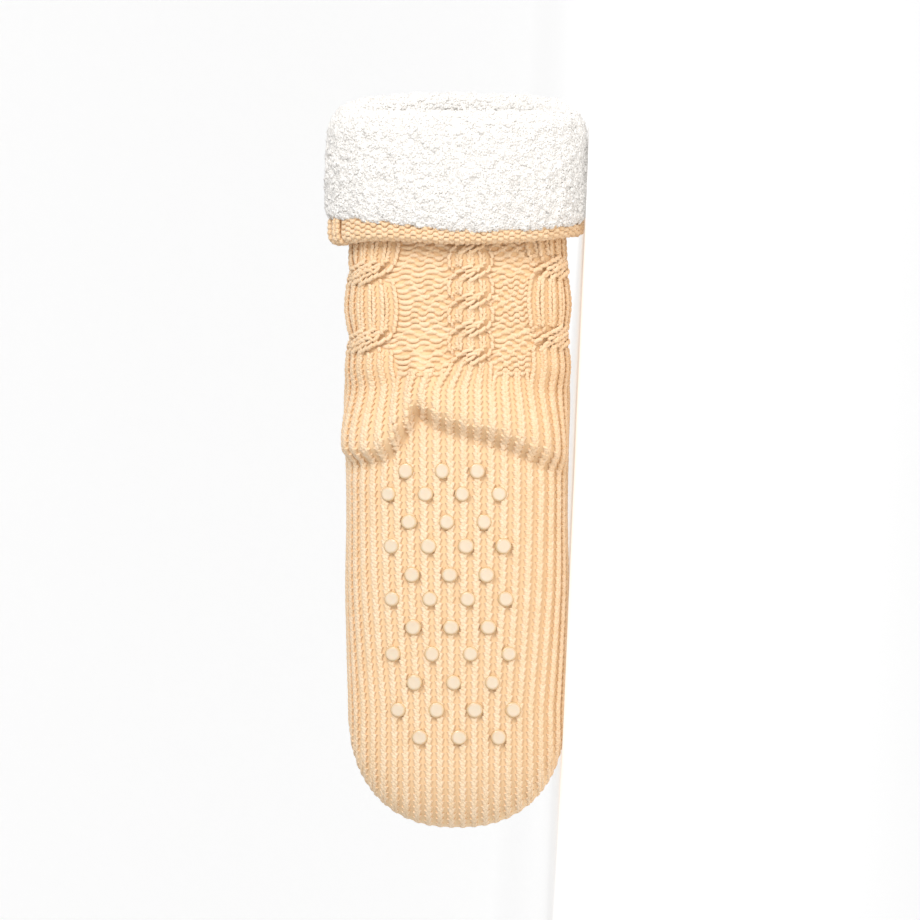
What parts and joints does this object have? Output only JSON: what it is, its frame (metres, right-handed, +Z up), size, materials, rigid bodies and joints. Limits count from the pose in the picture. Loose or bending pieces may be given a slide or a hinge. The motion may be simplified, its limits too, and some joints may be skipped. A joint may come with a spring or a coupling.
{
  "type": "slipper sock",
  "caption": "Soft knitted slipper sock with a turned-down fleece cuff, rope cables on the leg and grip dots on the sole.",
  "frame": {"origin": "on the floor, under the middle of the sock's box as it lies on its side", "axes": "+X from the toe to the collar, -Y out of the sole, +Y out of the instep, +Z up"},
  "size_m": [0.372, 0.1056, 0.1335],
  "materials": {
    "knit": "chunky knitted acrylic yarn, matt",
    "fleece": "curled sherpa pile, matt",
    "silicone": "clear to cream silicone, glossy"
  },
  "bodies": {
    "root": {"knit_foot_and_leg": "knit", "sherpa_cuff": "fleece", "grip_dot_01": "silicone", "grip_dot_02": "silicone", "grip_dot_03": "silicone", "grip_dot_04": "silicone", "grip_dot_05": "silicone", "grip_dot_06": "silicone", "grip_dot_07": "silicone", "grip_dot_08": "silicone", "grip_dot_09": "silicone", "grip_dot_10": "silicone", "grip_dot_11": "silicone", "grip_dot_12": "silicone", "grip_dot_13": "silicone", "grip_dot_14": "silicone", "grip_dot_15": "silicone", "grip_dot_16": "silicone", "grip_dot_17": "silicone", "grip_dot_18": "silicone", "grip_dot_19": "silicone", "grip_dot_20": "silicone", "grip_dot_21": "silicone", "grip_dot_22": "silicone", "grip_dot_23": "silicone", "grip_dot_24": "silicone", "grip_dot_25": "silicone", "grip_dot_26": "silicone", "grip_dot_27": "silicone", "grip_dot_28": "silicone", "grip_dot_29": "silicone", "grip_dot_30": "silicone", "grip_dot_31": "silicone", "grip_dot_32": "silicone", "grip_dot_33": "silicone", "grip_dot_34": "silicone", "grip_dot_35": "silicone", "grip_dot_36": "silicone", "grip_dot_37": "silicone", "grip_dot_38": "silicone"}
  },
  "joints": []
}
